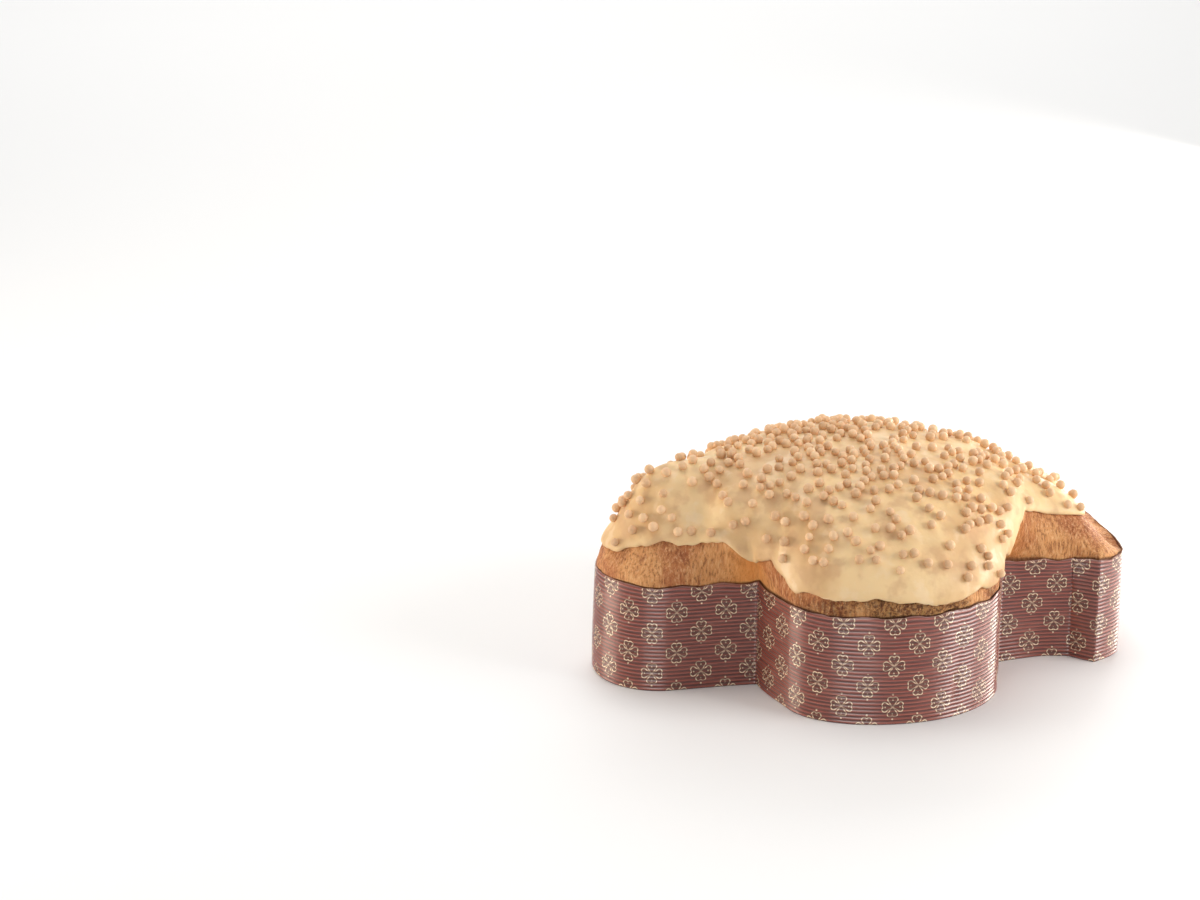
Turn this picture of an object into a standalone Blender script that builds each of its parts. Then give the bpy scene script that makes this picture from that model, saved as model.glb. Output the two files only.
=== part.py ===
"""A one kilogram colomba: a dove-shaped easter bread in its paper baking case,
iced with pale caramel chocolate and strewn with crisp chocolate pearls.

Metres, +Z up. The head of the dove points along -X, its tail along +X and its
wings along -Y and +Y. The case stands on z = 0 and the origin is under the
middle of the whole part.
"""

import math
import random

import bmesh
import bpy
from mathutils import Matrix, Vector, noise
from mathutils.geometry import interpolate_bezier

# The dove's outline at the foot of the paper case.
HEAD_TIP = 0.1555
HEAD_HALF_WIDTH = 0.0385
HEAD_SHOULDER = 0.118
WING_REACH = 0.1072
WING_FRONT = 0.068
WING_BACK = 0.078
WING_ROOT = 0.0395
WING_ELBOW = 0.075
WING_TAPER = 0.009
NECK_HALF_WIDTH = 0.0335
NECK_MIDDLE = 0.104
TAIL_HALF_WIDTH = 0.0475
TAIL_FOLD = 0.121
TAIL_FOLD_WIDTH = 0.0362
TAIL_CORNER = 0.133
TAIL_TIP = 0.155

# The paper case.
CASE_HEIGHT = 0.063
CASE_LEVELS = (0, 0.5, 1)
PAPER = 0.0011
NECK_BULGE = 0.006
NECK_BULGE_MIDDLE = NECK_MIDDLE + 0.004
NECK_BULGE_LENGTH = 0.020
NECK_BULGE_WIDTH = 0.010
HEAD_LEAN = 0.002
HEAD_LEAN_LENGTH = 0.020
LEAN_POWER = 1.5
RIM_SWELL = 0.0012
RIM_SWELL_WIDTH = 0.045
RIM_RIPPLE = 0.0006
RIM_RIPPLE_PITCH = Vector((260, 170))
PIECE_GAP = 0.0003

# The dough above the rim of the case.
CROWN_RISE = 0.0628
HEAD_RISE = 0.0592
TAIL_RISE = 0.0280
HEAD_SPINE_SHARE = 0.70
TAIL_SPINE_SHARE = 0.76
HEAD_RIDGE_POWER = 2.6
TAIL_RIDGE_POWER = 2.0
NOTCH_FILL = 0.012
NOTCH_PLACE = Vector((0.072, 0.042))
NOTCH_REACH = Vector((0.024, 0.022))
SOFT_PASSES = 8
SOFT_START = 0.02
SOFT_FULL = 0.45
CRUST_BULGE = 0.0010
CRUST_BULGE_CLIMB = 0.16
CRUST_BULGE_SPAN = 0.12
CROWN_LUMP = 0.0016
CROWN_LUMP_PITCH = 28
CRAG = 0.0010
CRAG_PITCH = 140
UP = Vector((0, 0, 1))
SHARP_ANGLE = 40

# The two powers of the dome's slope: how long it stays level, and how steeply it meets the rim.
HEAD_SLOPE = (2.0, 0.68)
WING_SLOPE = (2.6, 0.4545)
TAIL_SLOPE = (2.1, 0.58)
TAIL_END_SLOPE = (1.8, 2.1)
TAIL_END_HALF = 0.024
WING_SLOPE_START = 0.036
WING_SLOPE_FULL = 0.072
VALLEY_SLOPE = 0.85
VALLEY_START = 0.080
VALLEY_END = 0.116

# The icing and its pearls.
ICING = 0.0026
ICING_EDGE = 0.0018
ICING_GAP = 0.0004
PEARL_RADIUS = 0.0028
PEARL_SINK = 0.0008
PEARL_COUNT = 225
PEARL_SPACING = 0.0061
PEARL_EDGE_CLEARANCE = 0.0045
PEARL_SEED = 12
PEARL_THIN_HEIGHT = 0.075
PEARL_THICK_HEIGHT = 0.122
PEARL_THIN_SHARE = 0.10
PEARL_DRIFT_PITCH = 45
PEARL_DRIFT_PLACE = Vector((3, 7, 1))
PEARL_DRIFT_RANGE = (-0.35, 0.30)
PEARL_DRIFT_SHARE = 0.65
PEARL_STEEPEST = 0.15

# Where the icing ends: share of the way round from the head's tip, and share of the climb.
ICING_LINE = (
    (0.000, 0.20),
    (0.014, 0.205),
    (0.037, 0.305),
    (0.055, 0.342),
    (0.076, 0.315),
    (0.092, 0.25),
    (0.113, 0.14),
    (0.135, 0.175),
    (0.150, 0.14),
    (0.170, 0.065),
    (0.200, 0.075),
    (0.225, 0.055),
    (0.262, 0.055),
    (0.310, 0.12),
    (0.330, 0.20),
    (0.350, 0.36),
    (0.375, 0.40),
    (0.432, 0.43),
    (0.452, 0.60),
    (0.474, 0.67),
    (0.500, 0.58),
)

# Small waves of the icing's edge: height as a share of the climb, pitch and start.
EDGE_WAVES = ((0.010, 1.9, 0), (0.006, 0.83, 1))

# Mesh steps along each span of the near half of the outline.
SPAN_STEPS = (5, 4, 4, 5, 5, 4, 3, 2, 2, 3, 3)
LOAF_LEVELS = (0, 0.5, 1.004)
CRUST_RINGS = 4
CROWN_RINGS = 6
CROWN_RING_POWER = 1.05


def outline_spans():
    """Bezier spans of the near half of the foot line, from the head's tip to the tail's.

    Each knot is its place, the direction in which the line leaves it, and the reach
    of its two handles. A knot at a notch has another direction on each side."""
    along = Vector((1, 0))
    knots = (
        (Vector((-HEAD_TIP, 0)), Vector((0, -1)), Vector((0, -1)), 0, 0.024),
        (Vector((-HEAD_SHOULDER, -HEAD_HALF_WIDTH)), along, along, 0.018, 0.016),
        (Vector((-WING_FRONT, -WING_ROOT)), Vector((1, -0.1)), Vector((0.02, -1)), 0.012, 0.010),
        (Vector((WING_TAPER - WING_FRONT, -WING_ELBOW)), Vector((0.3, -1)), Vector((0.3, -1)), 0.012, 0.020),
        (Vector((0.004, -WING_REACH)), along, along, 0.032, 0.032),
        (Vector((WING_BACK - 0.012, -0.070)), Vector((0.28, 1)), Vector((0.28, 1)), 0.020, 0.012),
        (Vector((WING_BACK, -NECK_HALF_WIDTH - 0.003)), Vector((0.2, 1)), Vector((1, 0.12)), 0.009, 0.006),
        (Vector((NECK_MIDDLE, -NECK_HALF_WIDTH)), along, along, 0.009, 0.006),
        (Vector((TAIL_FOLD, -TAIL_FOLD_WIDTH)), Vector((1, -0.25)), Vector((0.7, -1)), 0.006, 0.003),
        (Vector((TAIL_CORNER, -TAIL_HALF_WIDTH)), Vector((1, -0.6)), Vector((1, 0.35)), 0.003, 0.006),
        (Vector((TAIL_TIP - 0.004, -0.036)), Vector((0.75, 1)), Vector((0.45, 1)), 0.006, 0.010),
        (Vector((TAIL_TIP, 0)), Vector((0, 1)), Vector((0, 1)), 0.014, 0),
    )
    for start, end in zip(knots, knots[1:]):
        yield (
            start[0],
            start[0] + start[2].normalized() * start[4],
            end[0] - end[1].normalized() * end[3],
            end[0],
        )


def foot_line():
    """Points of the closed foot line, anticlockwise from the head's tip, seen from above."""
    near = []
    for span, steps in zip(outline_spans(), SPAN_STEPS):
        near += [p.xy for p in interpolate_bezier(*span, steps + 1)[:-1]]
    near.append(Vector((TAIL_TIP, 0)))
    far = [Vector((p.x, -p.y)) for p in reversed(near[1:-1])]
    return near + far


def softened(line):
    """The foot line with its notches filled and its corners eased, as risen dough rounds them."""
    for _ in range(SOFT_PASSES):
        count = len(line)
        line = [line[i] * 0.5 + (line[i - 1] + line[(i + 1) % count]) * 0.25 for i in range(count)]
    return line


def bell(value, middle, width):
    """One at the middle, falling smoothly to nothing over the width on each side."""
    return math.exp(-(((value - middle) / width) ** 2))


def outward(line, index):
    """The outline's outward normal at one of its points."""
    before, after = line[index - 1], line[(index + 1) % len(line)]
    tangent = (after - before).normalized()
    return Vector((tangent.y, -tangent.x))


def case_point(foot, normal, height):
    """A point of the case's outer wall: pressed out where the tail necks in, leaning in at the head."""
    push = NECK_BULGE * bell(foot.x, NECK_BULGE_MIDDLE, NECK_BULGE_LENGTH)
    push *= bell(abs(foot.y), NECK_HALF_WIDTH, NECK_BULGE_WIDTH)
    push -= HEAD_LEAN * bell(foot.x, -HEAD_TIP, HEAD_LEAN_LENGTH)
    plan = foot + normal * push * (height / CASE_HEIGHT) ** LEAN_POWER
    return Vector((plan.x, plan.y, height))


def rim_height(foot):
    """The paper's upper edge: a little higher round the wings, and never quite level."""
    swell = RIM_SWELL * bell(abs(foot.y), WING_REACH, RIM_SWELL_WIDTH)
    return CASE_HEIGHT + swell + RIM_RIPPLE * math.sin(foot.dot(RIM_RIPPLE_PITCH))


def smooth_step(value, low, high):
    """Nothing below low, one above high, and an even ease between them."""
    share = min(1, max(0, (value - low) / (high - low)))
    return share * share * (3 - 2 * share)


def spine_point(foot):
    """The point of the dove's middle line towards which the dome climbs from a foot point."""
    share = HEAD_SPINE_SHARE if foot.x < 0 else TAIL_SPINE_SHARE
    return Vector((foot.x * share, 0))


def dome_rise(x):
    """Height of the dough above the rim along the middle line."""
    if x < 0:
        reach, end_rise, power = HEAD_TIP * HEAD_SPINE_SHARE, HEAD_RISE, HEAD_RIDGE_POWER
    else:
        reach, end_rise, power = TAIL_TIP * TAIL_SPINE_SHARE, TAIL_RISE, TAIL_RIDGE_POWER
    return CROWN_RISE - (CROWN_RISE - end_rise) * min(1, abs(x) / reach) ** power


def blend(first, second, share):
    return [a + (b - a) * share for a, b in zip(first, second)]


def slope_shape(foot):
    """How full the dome's slope is above a foot point: the two powers of its curve."""
    wing = smooth_step(abs(foot.y), WING_SLOPE_START, WING_SLOPE_FULL)
    wing = max(wing, VALLEY_SLOPE * (1 - smooth_step(abs(foot.x), VALLEY_START, VALLEY_END)))
    slope = HEAD_SLOPE
    if foot.x > 0:
        end = smooth_step(foot.x, TAIL_CORNER - 0.010, TAIL_TIP)
        end *= 1 - smooth_step(abs(foot.y), TAIL_END_HALF, TAIL_HALF_WIDTH)
        slope = blend(TAIL_SLOPE, TAIL_END_SLOPE, end)
    return blend(slope, WING_SLOPE, wing)


def crown_point(station, climb):
    """A point of the dough above the rim. climb is 0 at the rim and 1 on the middle line."""
    foot, soft, normal = station
    angle = climb * math.pi / 2
    round_power, side_power = slope_shape(foot)
    plan_share = math.cos(angle)
    rise_share = (1 - plan_share**round_power) ** side_power
    spine = spine_point(foot)
    rim = case_point(foot, normal, CASE_HEIGHT)
    inset = rim.xy - normal * (PAPER + PIECE_GAP)
    inset += (soft - foot) * smooth_step(climb, SOFT_START, SOFT_FULL)
    plan = spine + (inset - spine) * plan_share
    notch = bell(abs(foot.x), NOTCH_PLACE.x, NOTCH_REACH.x) * bell(abs(foot.y), NOTCH_PLACE.y, NOTCH_REACH.y)
    swell = CRUST_BULGE * bell(climb, CRUST_BULGE_CLIMB, CRUST_BULGE_SPAN)
    swell += NOTCH_FILL * notch * math.sin(2 * angle)
    plan += (inset - spine).normalized() * swell
    height = rim_height(foot) * (1 - rise_share) + (CASE_HEIGHT + dome_rise(spine.x)) * rise_share
    place = Vector((plan.x, plan.y, height))
    return place + UP * noise.noise(place * CROWN_LUMP_PITCH) * CROWN_LUMP * math.sin(angle)


def bare_crust(index, count):
    """How far the dough climbs from the rim before the icing covers it, as a share of the climb."""
    around = min(index, count - index) / count
    for (start, low), (end, high) in zip(ICING_LINE, ICING_LINE[1:]):
        if around <= end:
            waves = sum(size * math.sin(index * pitch + begin) for size, pitch, begin in EDGE_WAVES)
            return low + (high - low) * smooth_step(around, start, end) + waves
    return ICING_LINE[-1][1]


def ring_wall(mesh, first, second, turned=False):
    """Triangles between two rings. Walls that face each other split their quads alike."""
    count = len(first)
    for i in range(count):
        j = (i + 1) % count
        if turned:
            mesh.faces.new((first[i], first[j], second[i]))
            mesh.faces.new((first[j], second[j], second[i]))
        else:
            mesh.faces.new((first[i], first[j], second[j]))
            mesh.faces.new((first[i], second[j], second[i]))


def add_ring(mesh, points):
    return [mesh.verts.new(p) for p in points]


def close_on_spine(mesh, ring, points):
    """Joins the last ring to the middle line, whose points the two sides of the dove share."""
    count = len(ring)
    half = count // 2
    spine = [None] * count
    for i in range(half + 1):
        vert = mesh.verts.new(points[i])
        spine[i] = vert
        spine[-i % count] = vert
    for i in range(count):
        j = (i + 1) % count
        mesh.faces.new((ring[i], ring[j], spine[j]))
        mesh.faces.new((ring[i], spine[j], spine[i]))


def make_object(name, mesh, material, smooth=True):
    bmesh.ops.recalc_face_normals(mesh, faces=mesh.faces[:])
    data = bpy.data.meshes.new(name)
    mesh.to_mesh(data)
    mesh.free()
    if smooth:
        data.shade_smooth()
        data.set_sharp_from_angle(angle=math.radians(SHARP_ANGLE))
    data.materials.append(material)
    obj = bpy.data.objects.new(name, data)
    bpy.context.scene.collection.objects.link(obj)
    return obj


def material(name, colour, roughness, metallic=0.0):
    made = bpy.data.materials.new(name)
    made.use_nodes = True
    shader = made.node_tree.nodes["Principled BSDF"]
    shader.inputs["Base Color"].default_value = (*colour, 1)
    shader.inputs["Roughness"].default_value = roughness
    shader.inputs["Metallic"].default_value = metallic
    return made


def paper_case(stations):
    """The baking case: a flat paper foot and one upright wall that follows the dove."""
    mesh = bmesh.new()
    outer = []
    for level in CASE_LEVELS:
        outer.append(add_ring(mesh, [
            case_point(foot, normal, level * rim_height(foot)) for foot, _, normal in stations
        ]))
    inner = []
    for level in reversed(CASE_LEVELS):
        ring = []
        for foot, _, normal in stations:
            height = max(PAPER, level * rim_height(foot))
            place = case_point(foot, normal, height)
            place.xy -= normal * PAPER
            ring.append(place)
        inner.append(add_ring(mesh, ring))
    for lower, upper in zip(outer, outer[1:]):
        ring_wall(mesh, lower, upper)
    ring_wall(mesh, outer[-1], inner[0])
    for upper, lower in zip(inner, inner[1:]):
        ring_wall(mesh, upper, lower, turned=True)
    mesh.faces.new(list(reversed(outer[0])))
    mesh.faces.new(inner[-1])
    bmesh.ops.triangulate(mesh, faces=[f for f in mesh.faces if len(f.verts) > 4])
    return make_object("paper_case", mesh, material("burgundy_paper", (0.24, 0.085, 0.085), 0.55))


def icing_shares(index, count):
    """The climbs at which the rings of the iced crown lie, from the icing's edge to the top."""
    edge = bare_crust(index, count)
    return [edge + (1 - edge) * (k / CROWN_RINGS) ** CROWN_RING_POWER for k in range(CROWN_RINGS + 1)]


def crown_normals(ring, above):
    """The dough's outward direction at each point of a ring, from its neighbours and the ring above."""
    count = len(ring)
    return [
        (ring[(i + 1) % count] - ring[i - 1]).cross(above[i] - ring[i]).normalized()
        for i in range(count)
    ]


def bread(stations):
    """The loaf: it fills the case and swells over its rim, browned where no icing covers it."""
    mesh = bmesh.new()
    count = len(stations)
    rings = []
    clear = PAPER + PIECE_GAP
    for level in LOAF_LEVELS:
        ring = []
        for foot, _, normal in stations:
            height = max(clear, level * rim_height(foot))
            place = case_point(foot, normal, height)
            place.xy -= normal * clear
            ring.append(place)
        rings.append(add_ring(mesh, ring))
    for k in range(1, CRUST_RINGS + 1):
        ring = []
        for i, station in enumerate(stations):
            place = crown_point(station, icing_shares(i, count)[0] * k / CRUST_RINGS)
            if k < CRUST_RINGS:
                place.xy += station[2] * CRAG * noise.noise(place * CRAG_PITCH)
            ring.append(place)
        rings.append(add_ring(mesh, ring))
    for k in range(1, CROWN_RINGS):
        rings.append(add_ring(mesh, [
            crown_point(station, icing_shares(i, count)[k]) for i, station in enumerate(stations)
        ]))
    for lower, upper in zip(rings, rings[1:]):
        ring_wall(mesh, lower, upper)
    spine = [crown_point(station, 1) for station in stations]
    close_on_spine(mesh, rings[-1], spine)
    mesh.faces.new(list(reversed(rings[0])))
    bmesh.ops.triangulate(mesh, faces=[f for f in mesh.faces if len(f.verts) > 4])
    return make_object("bread", mesh, material("baked_crust", (0.45, 0.19, 0.06), 0.7))


def pearl_chance(place):
    """How likely a pearl stays where it falls: thick on top, thin down the sides, in drifts."""
    high = smooth_step(place.z, PEARL_THIN_HEIGHT, PEARL_THICK_HEIGHT)
    drift = smooth_step(noise.noise(place * PEARL_DRIFT_PITCH + PEARL_DRIFT_PLACE), *PEARL_DRIFT_RANGE)
    drift = 1 - PEARL_DRIFT_SHARE * (1 - drift)
    return (PEARL_THIN_SHARE + (1 - PEARL_THIN_SHARE) * high) * drift


def pearl_places(skin, edge):
    """Seeded places on the icing for the pearls, each with the icing's outward direction."""
    dice = random.Random(PEARL_SEED)
    faces = [face for face in skin.faces if face.normal.z > PEARL_STEEPEST]
    areas = [face.calc_area() for face in faces]
    places = []
    while len(places) < PEARL_COUNT:
        face = dice.choices(faces, areas)[0]
        corners = [vert.co for vert in face.verts]
        a, b = sorted((dice.random(), dice.random()))
        place = corners[0] * a + corners[1] * (b - a) + corners[2] * (1 - b)
        if dice.random() > pearl_chance(place):
            continue
        if any((place - other).length < PEARL_SPACING for other, _ in places):
            continue
        if any((place - rim).length < PEARL_EDGE_CLEARANCE for rim in edge):
            continue
        places.append((place, face.normal.copy()))
    return places


def strew_pearls(skin_mesh, edge):
    """Crisp chocolate pearls, each its own small ball, collected ready to be fused."""
    heap = bpy.data.collections.new("pearls")
    bpy.context.scene.collection.children.link(heap)
    dice = random.Random(PEARL_SEED + 1)
    for place, normal in pearl_places(skin_mesh, edge):
        ball = bmesh.new()
        turn = Matrix.Rotation(dice.uniform(0, math.pi), 4, "Z")
        turn = turn @ Matrix.Rotation(dice.uniform(0, 1), 4, "X")
        move = Matrix.Translation(place + normal * (PEARL_RADIUS - PEARL_SINK))
        bmesh.ops.create_icosphere(ball, subdivisions=1, radius=PEARL_RADIUS, matrix=move @ turn)
        data = bpy.data.meshes.new("pearl")
        ball.to_mesh(data)
        ball.free()
        heap.objects.link(bpy.data.objects.new("pearl", data))
    return heap


def fuse(body, heap):
    """Joins every object of the heap to the body as one solid, then removes the heap."""
    join = body.modifiers.new("fuse", "BOOLEAN")
    join.operation = "UNION"
    join.operand_type = "COLLECTION"
    join.collection = heap
    join.solver = "EXACT"
    graph = bpy.context.evaluated_depsgraph_get()
    fused = bpy.data.meshes.new_from_object(body.evaluated_get(graph))
    body.modifiers.clear()
    body.data = fused
    for obj in list(heap.objects):
        bpy.data.objects.remove(obj)
    bpy.data.collections.remove(heap)


def icing(stations):
    """The icing: one poured skin over the crown with a rolled edge, and its pearls."""
    mesh = bmesh.new()
    count = len(stations)
    dough = [
        [crown_point(station, icing_shares(i, count)[k]) for i, station in enumerate(stations)]
        for k in range(CROWN_RINGS + 1)
    ]
    under, over = [], []
    for k, ring in enumerate(dough):
        outward_here = crown_normals(ring, dough[k + 1]) if k < CROWN_RINGS else [UP] * count
        thick = ICING_EDGE if k == 0 else ICING
        under.append([place + out * ICING_GAP for place, out in zip(ring, outward_here)])
        over.append([place + out * (ICING_GAP + thick) for place, out in zip(ring, outward_here)])
    lower = [add_ring(mesh, ring) for ring in under[:-1]]
    for a, b in zip(lower, lower[1:]):
        ring_wall(mesh, a, b)
    close_on_spine(mesh, lower[-1], under[-1])
    below = len(mesh.faces)
    upper = [add_ring(mesh, ring) for ring in over[:-1]]
    for a, b in zip(upper, upper[1:]):
        ring_wall(mesh, a, b)
    close_on_spine(mesh, upper[-1], over[-1])
    ring_wall(mesh, lower[0], upper[0])
    bmesh.ops.recalc_face_normals(mesh, faces=mesh.faces[:])
    mesh.faces.ensure_lookup_table()
    skin = bmesh.new()
    for face in mesh.faces[below : len(mesh.faces) - 2 * count]:
        skin.faces.new([skin.verts.new(vert.co) for vert in face.verts])
    skin.normal_update()
    heap = strew_pearls(skin, over[0])
    skin.free()
    body = make_object("icing", mesh, material("caramel_icing", (0.72, 0.50, 0.27), 0.35))
    fuse(body, heap)
    return body


def centre(objects):
    """Moves the part so that the origin is under the middle of its bounding box."""
    places = [vert.co for obj in objects for vert in obj.data.vertices]
    low = [min(place[axis] for place in places) for axis in range(3)]
    high = [max(place[axis] for place in places) for axis in range(3)]
    move = Vector((-(low[0] + high[0]) / 2, -(low[1] + high[1]) / 2, -low[2]))
    for obj in objects:
        obj.data.transform(Matrix.Translation(move))
    print("moved by", tuple(move))


def main():
    for obj in list(bpy.data.objects):
        bpy.data.objects.remove(obj)
    line = foot_line()
    stations = [(foot, soft, outward(line, i)) for i, (foot, soft) in enumerate(zip(line, softened(line)))]
    centre([paper_case(stations), bread(stations), icing(stations)])


main()
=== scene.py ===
# %% [markdown]
# # A colomba, the dove-shaped easter bread
# A colomba is baked in a stiff paper case cut like a dove: a round head, two broad
# wings and a flared tail. The dough rises out of the case in one smooth dome, gets a
# coat of caramel chocolate, and is strewn with crisp chocolate pearls while the coat
# is still soft. This lesson dresses the plain solids of that bread with the ribs of
# the paper, the wrinkles of the crust, the rolled edge of the icing and the pearls.

# %% Load the frame
import math
import random

import bmesh
import bpy
import numpy as np
from mathutils import Matrix, Vector, noise
from mathutils.geometry import interpolate_bezier
from mathutils.kdtree import KDTree


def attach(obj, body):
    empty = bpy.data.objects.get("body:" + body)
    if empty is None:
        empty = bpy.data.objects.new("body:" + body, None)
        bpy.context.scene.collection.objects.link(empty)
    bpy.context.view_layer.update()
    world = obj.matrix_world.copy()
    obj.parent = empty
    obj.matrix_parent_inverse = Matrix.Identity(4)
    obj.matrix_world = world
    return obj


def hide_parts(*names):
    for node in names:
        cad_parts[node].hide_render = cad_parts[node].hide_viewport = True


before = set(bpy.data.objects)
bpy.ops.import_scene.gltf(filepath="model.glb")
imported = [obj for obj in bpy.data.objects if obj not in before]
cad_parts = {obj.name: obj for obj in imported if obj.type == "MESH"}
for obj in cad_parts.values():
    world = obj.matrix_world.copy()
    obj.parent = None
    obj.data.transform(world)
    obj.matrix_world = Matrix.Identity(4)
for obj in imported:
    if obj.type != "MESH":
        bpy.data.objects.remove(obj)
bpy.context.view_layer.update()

# %% [markdown]
# ## The dove's outline
# The foot of the case is one closed line. A baker's paper is folded round a template,
# so the line is smooth along the head, the wings and the tail, and has a crease where
# a wing meets the body. Bezier spans between a few knots draw such a line well: each
# knot gives a place and a direction, and a crease is a knot with two directions.

# %% The outline's knots
HEAD_TIP, HEAD_SHOULDER, HEAD_HALF_WIDTH = 0.1555, 0.118, 0.0385
WING_REACH, WING_FRONT, WING_BACK, WING_ROOT = 0.1072, 0.068, 0.078, 0.0395
WING_ELBOW, WING_TAPER = 0.075, 0.009
NECK_HALF_WIDTH, NECK_MIDDLE = 0.0335, 0.104
TAIL_HALF_WIDTH, TAIL_FOLD, TAIL_FOLD_WIDTH = 0.0475, 0.121, 0.0362
TAIL_CORNER, TAIL_TIP = 0.133, 0.155
SPAN_STEPS = (5, 4, 4, 5, 5, 4, 3, 2, 2, 3, 3)
CENTRE = Vector((0.00025, -0.001056, 0))


def outline_spans():
    """Bezier spans of the near half of the foot line, from the head's tip to the tail's."""
    along = Vector((1, 0))
    knots = (
        (Vector((-HEAD_TIP, 0)), Vector((0, -1)), Vector((0, -1)), 0, 0.024),
        (Vector((-HEAD_SHOULDER, -HEAD_HALF_WIDTH)), along, along, 0.018, 0.016),
        (Vector((-WING_FRONT, -WING_ROOT)), Vector((1, -0.1)), Vector((0.02, -1)), 0.012, 0.010),
        (Vector((WING_TAPER - WING_FRONT, -WING_ELBOW)), Vector((0.3, -1)), Vector((0.3, -1)), 0.012, 0.020),
        (Vector((0.004, -WING_REACH)), along, along, 0.032, 0.032),
        (Vector((WING_BACK - 0.012, -0.070)), Vector((0.28, 1)), Vector((0.28, 1)), 0.020, 0.012),
        (Vector((WING_BACK, -NECK_HALF_WIDTH - 0.003)), Vector((0.2, 1)), Vector((1, 0.12)), 0.009, 0.006),
        (Vector((NECK_MIDDLE, -NECK_HALF_WIDTH)), along, along, 0.009, 0.006),
        (Vector((TAIL_FOLD, -TAIL_FOLD_WIDTH)), Vector((1, -0.25)), Vector((0.7, -1)), 0.006, 0.003),
        (Vector((TAIL_CORNER, -TAIL_HALF_WIDTH)), Vector((1, -0.6)), Vector((1, 0.35)), 0.003, 0.006),
        (Vector((TAIL_TIP - 0.004, -0.036)), Vector((0.75, 1)), Vector((0.45, 1)), 0.006, 0.010),
        (Vector((TAIL_TIP, 0)), Vector((0, 1)), Vector((0, 1)), 0.014, 0),
    )
    for start, end in zip(knots, knots[1:]):
        yield (
            start[0],
            start[0] + start[2].normalized() * start[4],
            end[0] - end[1].normalized() * end[3],
            end[0],
        )


def foot_line(fineness):
    """Points of the closed foot line, each span cut into its steps times the fineness."""
    near = []
    for span, steps in zip(outline_spans(), SPAN_STEPS):
        near += [p.xy for p in interpolate_bezier(*span, steps * fineness + 1)[:-1]]
    near.append(Vector((TAIL_TIP, 0)))
    return near + [Vector((p.x, -p.y)) for p in reversed(near[1:-1])]


def outward(line, i):
    tangent = (line[(i + 1) % len(line)] - line[i - 1]).normalized()
    return Vector((tangent.y, -tangent.x))


print("outline points at fineness 8:", len(foot_line(8)))

# %% [markdown]
# ## The dome as a grid of points
# Above the rim the dough climbs towards a line along the dove's back. Every foot point
# has one climbing curve, and all of them together make a grid that the crust and the
# icing share. Sculpting would do as well, but a grid keeps the icing at one thickness
# above the crust everywhere. The curve is fuller on the wings than on the tail's end,
# and the creases of the case fade as the dough rises, because dough rounds them.

# %% Values of the dome
CASE_HEIGHT, PAPER, PIECE_GAP = 0.063, 0.0011, 0.0003
NECK_BULGE, NECK_BULGE_MIDDLE, NECK_BULGE_LENGTH = 0.006, NECK_MIDDLE + 0.004, 0.020
NECK_BULGE_WIDTH, HEAD_LEAN, HEAD_LEAN_LENGTH, LEAN_POWER = 0.010, 0.002, 0.020, 1.5
RIM_SWELL, RIM_SWELL_WIDTH = 0.0012, 0.045
RIM_RIPPLE, RIM_RIPPLE_PITCH = 0.0006, Vector((260, 170))
CROWN_RISE, HEAD_RISE, TAIL_RISE = 0.0628, 0.0592, 0.0280
HEAD_SPINE_SHARE, TAIL_SPINE_SHARE = 0.70, 0.76
HEAD_RIDGE_POWER, TAIL_RIDGE_POWER = 2.6, 2.0
NOTCH_FILL, NOTCH_PLACE, NOTCH_REACH = 0.012, Vector((0.072, 0.042)), Vector((0.024, 0.022))
SOFT_PASSES, SOFT_START, SOFT_FULL = 8, 0.02, 0.45
CRUST_BULGE, CRUST_BULGE_CLIMB, CRUST_BULGE_SPAN = 0.0010, 0.16, 0.12
CROWN_LUMP, CROWN_LUMP_PITCH = 0.0016, 28
HEAD_SLOPE, WING_SLOPE = (2.0, 0.68), (2.6, 0.4545)
TAIL_SLOPE, TAIL_END_SLOPE, TAIL_END_HALF = (2.1, 0.58), (1.8, 2.1), 0.024
WING_SLOPE_START, WING_SLOPE_FULL = 0.036, 0.072
VALLEY_SLOPE, VALLEY_START, VALLEY_END = 0.85, 0.080, 0.116


def bell(value, middle, width):
    return math.exp(-(((value - middle) / width) ** 2))


def smooth_step(value, low, high):
    share = min(1, max(0, (value - low) / (high - low)))
    return share * share * (3 - 2 * share)


def rim_height(foot):
    """The paper's upper edge: a little higher round the wings, and never quite level."""
    swell = RIM_SWELL * bell(abs(foot.y), WING_REACH, RIM_SWELL_WIDTH)
    return CASE_HEIGHT + swell + RIM_RIPPLE * math.sin(foot.dot(RIM_RIPPLE_PITCH))


def case_point(foot, normal, height):
    """A point of the case's wall: upright, but pressed out where the tail necks in."""
    push = NECK_BULGE * bell(foot.x, NECK_BULGE_MIDDLE, NECK_BULGE_LENGTH)
    push *= bell(abs(foot.y), NECK_HALF_WIDTH, NECK_BULGE_WIDTH)
    push -= HEAD_LEAN * bell(foot.x, -HEAD_TIP, HEAD_LEAN_LENGTH)
    plan = foot + normal * push * (height / CASE_HEIGHT) ** LEAN_POWER
    return Vector((plan.x, plan.y, height))


# %% One climbing curve
def spine_point(foot):
    return Vector((foot.x * (HEAD_SPINE_SHARE if foot.x < 0 else TAIL_SPINE_SHARE), 0))


def dome_rise(x):
    """Height of the dough above the rim along the dove's back."""
    if x < 0:
        reach, end_rise, power = HEAD_TIP * HEAD_SPINE_SHARE, HEAD_RISE, HEAD_RIDGE_POWER
    else:
        reach, end_rise, power = TAIL_TIP * TAIL_SPINE_SHARE, TAIL_RISE, TAIL_RIDGE_POWER
    return CROWN_RISE - (CROWN_RISE - end_rise) * min(1, abs(x) / reach) ** power


def blend(first, second, share):
    return [a + (b - a) * share for a, b in zip(first, second)]


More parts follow.
